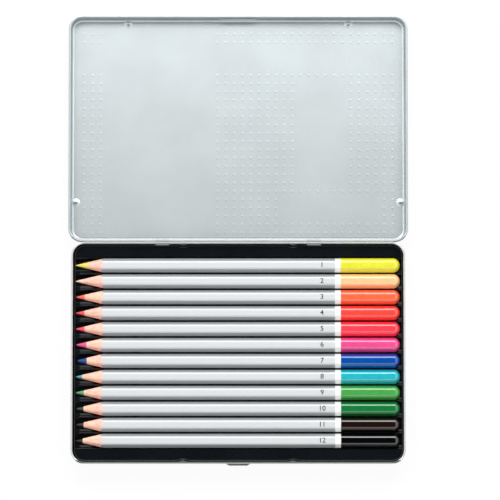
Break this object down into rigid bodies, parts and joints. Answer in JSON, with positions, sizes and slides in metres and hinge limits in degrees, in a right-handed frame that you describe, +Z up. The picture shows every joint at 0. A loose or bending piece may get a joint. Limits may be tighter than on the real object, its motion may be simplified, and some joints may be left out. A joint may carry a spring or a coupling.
{
  "type": "coloured pencil tin",
  "caption": "Flat metal tin whose lid folds right back on two tongues, with a formed plastic tray that holds a row of sharpened hexagonal pencils.",
  "frame": {"origin": "centre of the base's underside, on the surface that the tin lies on", "axes": "+X along the pencils from the points to the dipped ends, +Y from the front of the base towards the hinge and the laid-open lid, +Z up"},
  "size_m": [0.1836, 0.2441, 0.013],
  "materials": {
    "base_metal": "satin tinplate",
    "lid_metal": "satin tinplate with embossed dots",
    "tray_plastic": "thermoformed black sheet, half gloss",
    "pencil_wood": "bare cedar, freshly cut",
    "pencil_lacquer": "silver lacquer",
    "dip_yellow": "glossy dipped lacquer",
    "lead_yellow": "waxy pigment",
    "dip_apricot": "glossy dipped lacquer",
    "lead_apricot": "waxy pigment",
    "dip_orange": "glossy dipped lacquer",
    "lead_orange": "waxy pigment",
    "dip_vermilion": "glossy dipped lacquer",
    "lead_vermilion": "waxy pigment",
    "dip_crimson": "glossy dipped lacquer",
    "lead_crimson": "waxy pigment",
    "dip_magenta": "glossy dipped lacquer",
    "lead_magenta": "waxy pigment",
    "dip_blue": "glossy dipped lacquer",
    "lead_blue": "waxy pigment",
    "dip_turquoise": "glossy dipped lacquer",
    "lead_turquoise": "waxy pigment",
    "dip_leaf_green": "glossy dipped lacquer",
    "lead_leaf_green": "waxy pigment",
    "dip_green": "glossy dipped lacquer",
    "lead_green": "waxy pigment",
    "dip_brown": "glossy dipped lacquer",
    "lead_brown": "waxy pigment",
    "dip_black": "glossy dipped lacquer",
    "lead_black": "waxy pigment"
  },
  "bodies": {
    "base": {"base_pan": "base_metal"},
    "lid": {"lid": "lid_metal"},
    "tray": {"tray": "tray_plastic"},
    "pencil_yellow": {"pencil_yellow_casing": "pencil_wood", "pencil_yellow_coat": "pencil_lacquer", "pencil_yellow_dip": "dip_yellow", "pencil_yellow_lead": "lead_yellow"},
    "pencil_apricot": {"pencil_apricot_casing": "pencil_wood", "pencil_apricot_coat": "pencil_lacquer", "pencil_apricot_dip": "dip_apricot", "pencil_apricot_lead": "lead_apricot"},
    "pencil_orange": {"pencil_orange_casing": "pencil_wood", "pencil_orange_coat": "pencil_lacquer", "pencil_orange_dip": "dip_orange", "pencil_orange_lead": "lead_orange"},
    "pencil_vermilion": {"pencil_vermilion_casing": "pencil_wood", "pencil_vermilion_coat": "pencil_lacquer", "pencil_vermilion_dip": "dip_vermilion", "pencil_vermilion_lead": "lead_vermilion"},
    "pencil_crimson": {"pencil_crimson_casing": "pencil_wood", "pencil_crimson_coat": "pencil_lacquer", "pencil_crimson_dip": "dip_crimson", "pencil_crimson_lead": "lead_crimson"},
    "pencil_magenta": {"pencil_magenta_casing": "pencil_wood", "pencil_magenta_coat": "pencil_lacquer", "pencil_magenta_dip": "dip_magenta", "pencil_magenta_lead": "lead_magenta"},
    "pencil_blue": {"pencil_blue_casing": "pencil_wood", "pencil_blue_coat": "pencil_lacquer", "pencil_blue_dip": "dip_blue", "pencil_blue_lead": "lead_blue"},
    "pencil_turquoise": {"pencil_turquoise_casing": "pencil_wood", "pencil_turquoise_coat": "pencil_lacquer", "pencil_turquoise_dip": "dip_turquoise", "pencil_turquoise_lead": "lead_turquoise"},
    "pencil_leaf_green": {"pencil_leaf_green_casing": "pencil_wood", "pencil_leaf_green_coat": "pencil_lacquer", "pencil_leaf_green_dip": "dip_leaf_green", "pencil_leaf_green_lead": "lead_leaf_green"},
    "pencil_green": {"pencil_green_casing": "pencil_wood", "pencil_green_coat": "pencil_lacquer", "pencil_green_dip": "dip_green", "pencil_green_lead": "lead_green"},
    "pencil_brown": {"pencil_brown_casing": "pencil_wood", "pencil_brown_coat": "pencil_lacquer", "pencil_brown_dip": "dip_brown", "pencil_brown_lead": "lead_brown"},
    "pencil_black": {"pencil_black_casing": "pencil_wood", "pencil_black_coat": "pencil_lacquer", "pencil_black_dip": "dip_black", "pencil_black_lead": "lead_black"}
  },
  "joints": [
    {"name": "lid_hinge", "type": "hinge", "parent": "base", "child": "lid", "pos_m": [0, 0.0608, 0.007], "axis": [-1, 0, 0], "range_deg": [-180, 0]},
    {"name": "tray_lift", "type": "slide", "parent": "base", "child": "tray", "axis": [0, 0, 1], "range_m": [0, 0.03]},
    {"name": "pencil_yellow_lift", "type": "slide", "parent": "tray", "child": "pencil_yellow", "axis": [0, 0, 1], "range_m": [0, 0.03]},
    {"name": "pencil_apricot_lift", "type": "slide", "parent": "tray", "child": "pencil_apricot", "axis": [0, 0, 1], "range_m": [0, 0.03]},
    {"name": "pencil_orange_lift", "type": "slide", "parent": "tray", "child": "pencil_orange", "axis": [0, 0, 1], "range_m": [0, 0.03]},
    {"name": "pencil_vermilion_lift", "type": "slide", "parent": "tray", "child": "pencil_vermilion", "axis": [0, 0, 1], "range_m": [0, 0.03]},
    {"name": "pencil_crimson_lift", "type": "slide", "parent": "tray", "child": "pencil_crimson", "axis": [0, 0, 1], "range_m": [0, 0.03]},
    {"name": "pencil_magenta_lift", "type": "slide", "parent": "tray", "child": "pencil_magenta", "axis": [0, 0, 1], "range_m": [0, 0.03]},
    {"name": "pencil_blue_lift", "type": "slide", "parent": "tray", "child": "pencil_blue", "axis": [0, 0, 1], "range_m": [0, 0.03]},
    {"name": "pencil_turquoise_lift", "type": "slide", "parent": "tray", "child": "pencil_turquoise", "axis": [0, 0, 1], "range_m": [0, 0.03]},
    {"name": "pencil_leaf_green_lift", "type": "slide", "parent": "tray", "child": "pencil_leaf_green", "axis": [0, 0, 1], "range_m": [0, 0.03]},
    {"name": "pencil_green_lift", "type": "slide", "parent": "tray", "child": "pencil_green", "axis": [0, 0, 1], "range_m": [0, 0.03]},
    {"name": "pencil_brown_lift", "type": "slide", "parent": "tray", "child": "pencil_brown", "axis": [0, 0, 1], "range_m": [0, 0.03]},
    {"name": "pencil_black_lift", "type": "slide", "parent": "tray", "child": "pencil_black", "axis": [0, 0, 1], "range_m": [0, 0.03]}
  ]
}
